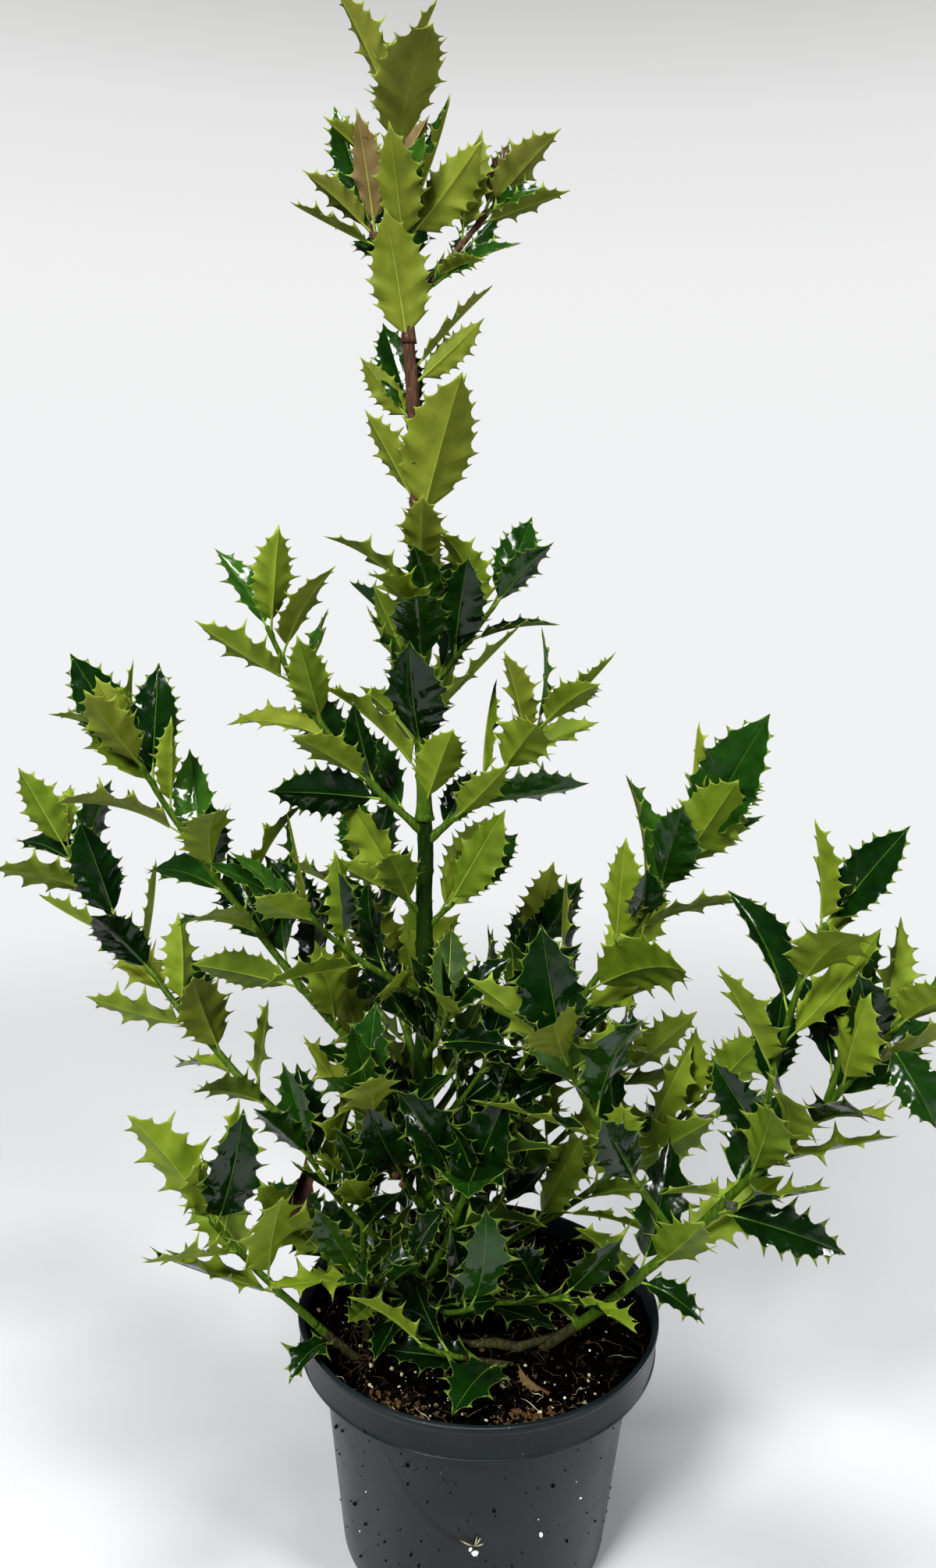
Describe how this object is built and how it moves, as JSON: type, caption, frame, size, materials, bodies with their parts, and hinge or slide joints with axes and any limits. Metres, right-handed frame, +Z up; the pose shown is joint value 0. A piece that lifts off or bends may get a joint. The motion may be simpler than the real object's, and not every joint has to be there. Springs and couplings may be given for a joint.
{
  "type": "young potted holly tree",
  "caption": "Young evergreen holly tree in a round nursery pot: upright leader, ascending boughs and spiny, wavy leaves over dark compost.",
  "frame": {"origin": "centre of the pot's flat underside", "axes": "+Z up along the pot's axis and the plant's leader; -Y towards the plant's front, +X to its right"},
  "size_m": [0.6668, 0.3436, 0.9165],
  "materials": {
    "pot_plastic": "dark slate-grey moulded plastic, satin, with water spots and scuffs",
    "compost": "moist dark peat-free compost with fibres, bark crumbs and white grains",
    "green_bark": "smooth green young bark, brown-purple towards the top, matt",
    "leaf": "leathery leaf, glossy dark green above with a pale edge, matt yellow-green below"
  },
  "bodies": {
    "root": {"back_high": "leaf", "back_left": "leaf", "back_low": "leaf", "back_right": "leaf", "bough_back_left": "green_bark", "bough_back_low": "green_bark", "bough_back_right": "green_bark", "bough_foot_right": "green_bark", "bough_front_shoot": "green_bark", "bough_left_far": "green_bark", "bough_left_front": "green_bark", "bough_left_long": "green_bark", "bough_left_upright": "green_bark", "bough_low_back_right": "green_bark", "bough_low_far_right": "green_bark", "bough_low_left": "green_bark", "bough_low_right": "green_bark", "bough_mid_front_left": "green_bark", "bough_mid_front_right": "green_bark", "bough_right_bough": "green_bark", "bough_right_front": "green_bark", "bough_right_long": "green_bark", "bough_right_upright": "green_bark", "compost": "compost", "foot_far_left": "leaf", "foot_front": "leaf", "foot_left": "leaf", "foot_middle": "leaf", "foot_right": "leaf", "front_shoot": "leaf", "front_spur": "leaf", "leader_low": "leaf", "leader_mid": "leaf", "leader_top": "leaf", "left_far": "leaf", "left_front": "leaf", "left_high": "leaf", "left_long": "leaf", "left_middle": "leaf", "left_upright": "leaf", "low_back_right": "leaf", "low_far_right": "leaf", "low_left": "leaf", "low_right": "leaf", "mid_front_left": "leaf", "mid_front_right": "leaf", "mid_left": "leaf", "mid_right": "leaf", "pot": "pot_plastic", "right_bough": "leaf", "right_front": "leaf", "right_high": "leaf", "right_long": "leaf", "right_spur": "leaf", "right_twig": "leaf", "right_upright": "leaf", "trunk": "green_bark", "trunk_spur_left": "leaf", "trunk_spur_right": "leaf"}
  },
  "joints": []
}
